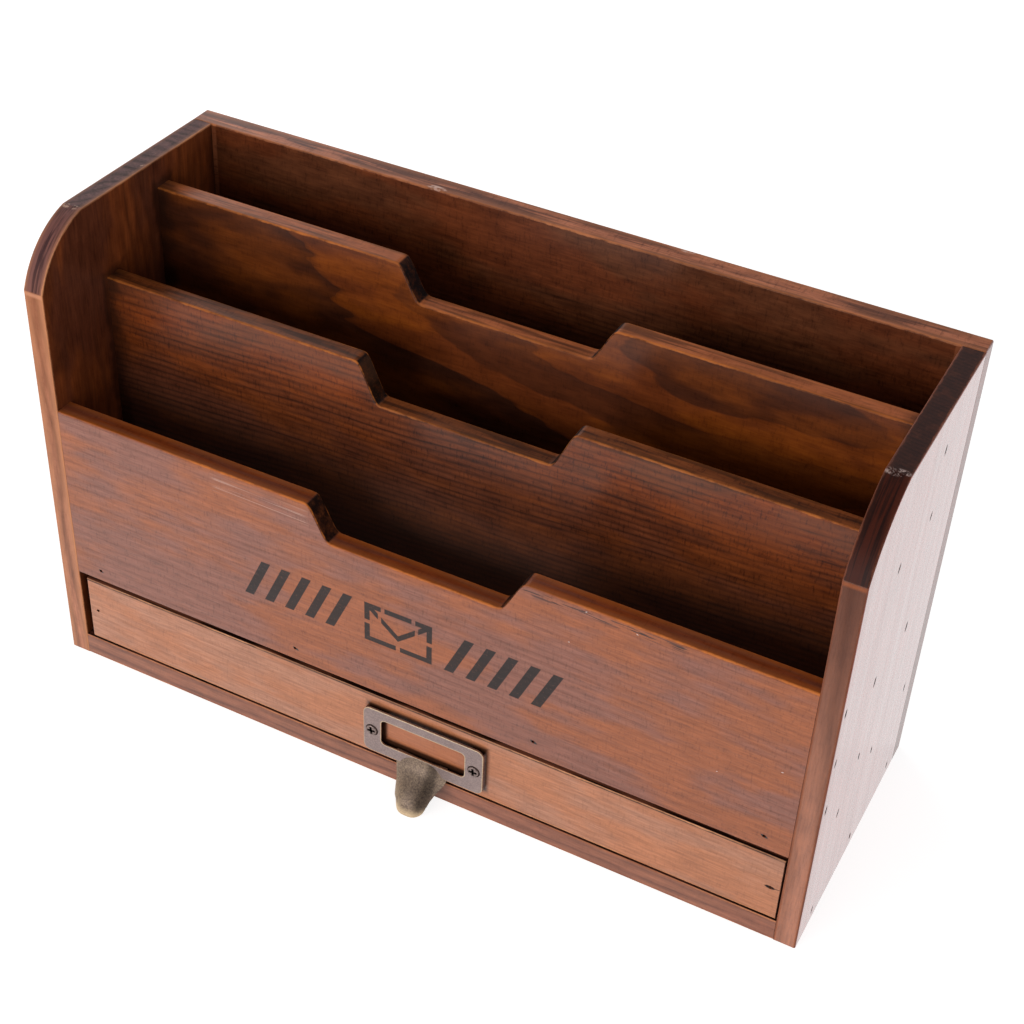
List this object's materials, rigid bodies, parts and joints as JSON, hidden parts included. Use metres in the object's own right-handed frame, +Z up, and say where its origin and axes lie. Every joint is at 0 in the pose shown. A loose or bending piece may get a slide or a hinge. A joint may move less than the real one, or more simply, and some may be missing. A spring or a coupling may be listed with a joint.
{
  "type": "envelope sorter with drawer",
  "caption": "Wooden desk envelope sorter with stepped upright pockets, notched dividers and a full-width drawer with a brass label holder and finger pull.",
  "frame": {"origin": "middle of the underside of the carcass, on the surface it stands on", "axes": "+X to the right across the width, +Y to the back, +Z up; the drawer opens towards -Y"},
  "size_m": [0.34, 0.14, 0.2072],
  "materials": {
    "stained_pine": "stained and satin varnished pine, grain along the board",
    "side_pine": "stained and satin varnished pine, upright grain",
    "drawer_pine": "lighter stained pine, satin",
    "plywood": "stained thin plywood",
    "antique_brass": "dark antique brass, edges worn bright",
    "antique_brass_screw": "darkened cross-head screws",
    "steel_brad": "dark sunk brads"
  },
  "bodies": {
    "carcass": {"side_panel_left": "side_pine", "side_panel_right": "side_pine", "back_panel": "stained_pine", "front_panel": "stained_pine", "divider_front": "stained_pine", "divider_rear": "stained_pine", "shelf": "stained_pine", "base_board": "stained_pine", "side_brads_left": "steel_brad", "side_brads_right": "steel_brad", "front_panel_brads": "steel_brad", "back_panel_brads": "steel_brad"},
    "drawer": {"drawer_front": "drawer_pine", "drawer_side_left": "drawer_pine", "drawer_side_right": "drawer_pine", "drawer_back": "drawer_pine", "drawer_bottom": "plywood", "label_pull": "antique_brass", "label_screws": "antique_brass_screw", "drawer_front_brads": "steel_brad", "drawer_back_brads": "steel_brad", "drawer_bottom_brads": "steel_brad"}
  },
  "joints": [
    {"name": "drawer_slide", "type": "slide", "parent": "carcass", "child": "drawer", "axis": [0, -1, 0], "range_m": [0, 0.09]}
  ]
}
